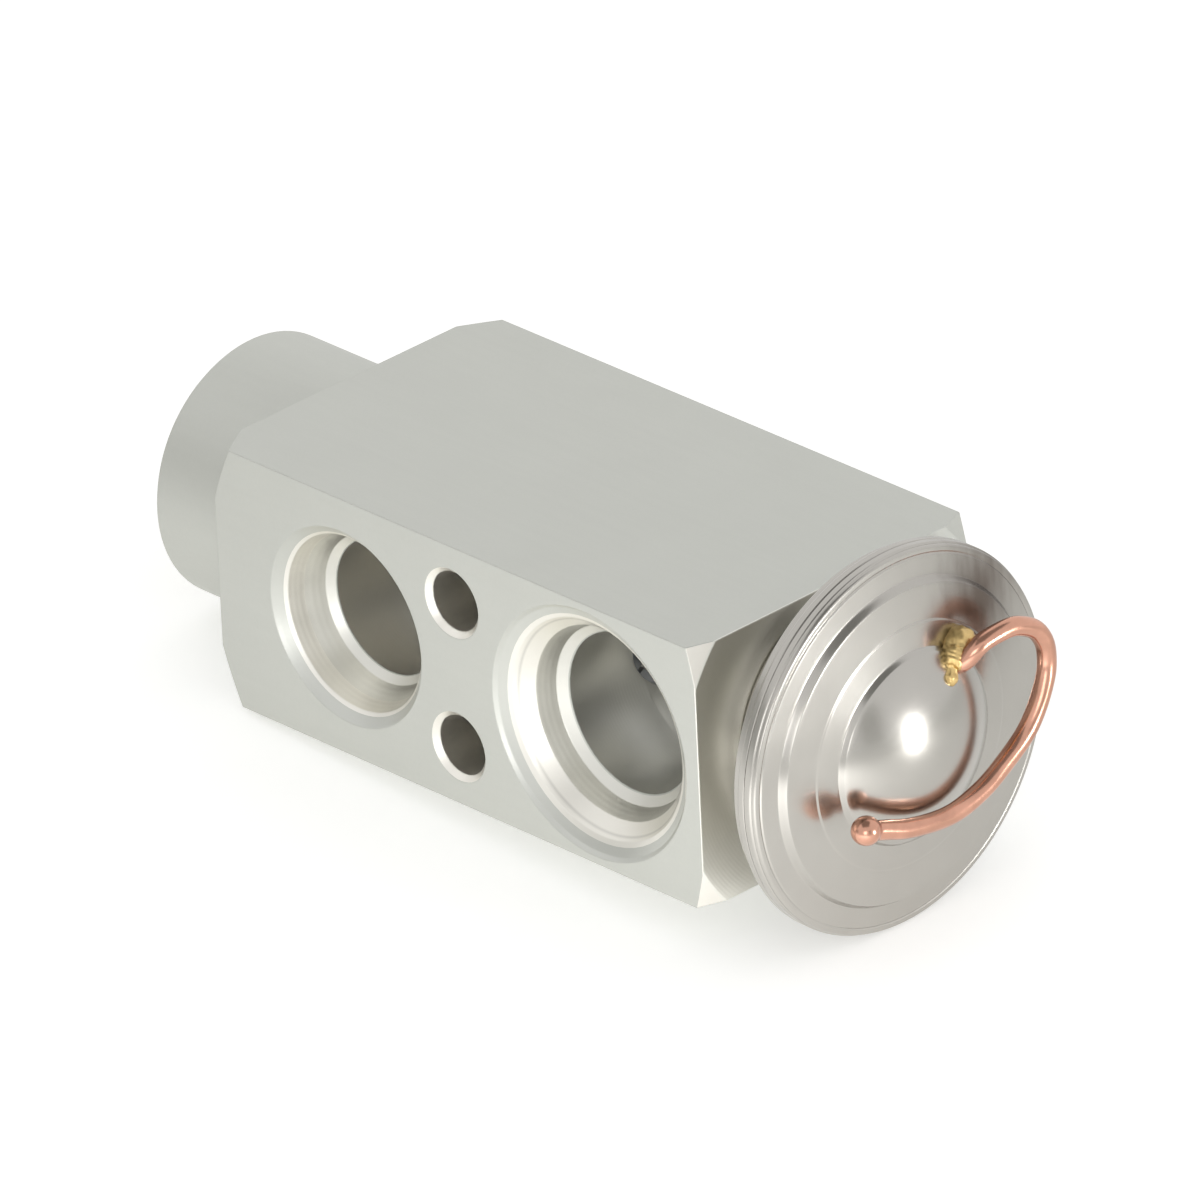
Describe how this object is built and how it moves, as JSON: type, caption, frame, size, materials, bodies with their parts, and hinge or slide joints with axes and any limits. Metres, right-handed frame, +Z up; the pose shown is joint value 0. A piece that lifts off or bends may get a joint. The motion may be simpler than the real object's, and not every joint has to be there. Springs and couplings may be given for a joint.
{
  "type": "expansion valve",
  "caption": "Block-type expansion valve: a machined block with ports on two faces, a diaphragm head with a sealed charge tube, and a spring-loaded ball inside.",
  "frame": {"origin": "middle of the two bolt holes, on the valve axis, half way through the block", "axes": "+X along the valve axis to the diaphragm head, -Y out of the port face, +Z up"},
  "size_m": [0.0985, 0.0406, 0.0406],
  "materials": {
    "body_aluminium": "satin, sawn and turned",
    "stainless": "satin, pressed sheet",
    "copper": "satin, drawn copper tube",
    "braze_brass": "as melted",
    "rubber": "satin",
    "shaft_aluminium": "turned",
    "washer_plastic": "matte",
    "spring_steel": "drawn wire and strip",
    "hard_steel": "ground",
    "carrier_brass": "turned",
    "screw_brass": "turned"
  },
  "bodies": {
    "block": {"valve_body": "body_aluminium", "lower_cover": "stainless", "upper_cover": "stainless", "diaphragm": "stainless", "charge_tube": "copper", "braze_fillet": "braze_brass", "head_seal": "rubber", "shaft_seal": "rubber", "backup_washer": "washer_plastic", "seal_retainer": "spring_steel", "superheat_spring": "spring_steel"},
    "valve_train": {"diaphragm_pad": "shaft_aluminium", "sensing_shaft": "shaft_aluminium", "operating_pin": "hard_steel", "valve_ball": "hard_steel", "ball_carrier": "carrier_brass", "damping_spring": "spring_steel"},
    "screw_seal": {"screw_seal": "rubber"},
    "screw": {"adjusting_screw": "screw_brass"}
  },
  "joints": [
    {"name": "valve_lift", "type": "slide", "parent": "block", "child": "valve_train", "axis": [-1, 0, 0], "range_m": [0, 0.0008], "stiffness_N_per_m": 11300, "deforming": ["superheat_spring", "diaphragm"]},
    {"name": "screw_feed", "type": "slide", "parent": "block", "child": "screw_seal", "axis": [1, 0, 0], "range_m": [-0.0015, 0.0015], "deforming": ["superheat_spring"]},
    {"name": "screw_turn", "type": "hinge", "parent": "screw_seal", "child": "screw", "pos_m": [-0.0415, 0, 0], "axis": [1, 0, 0], "range_deg": [-540, 540]}
  ],
  "couplings": [
    {"joint": "screw_feed", "follows": "screw_turn", "m_per_rad": 0.00015915}
  ]
}
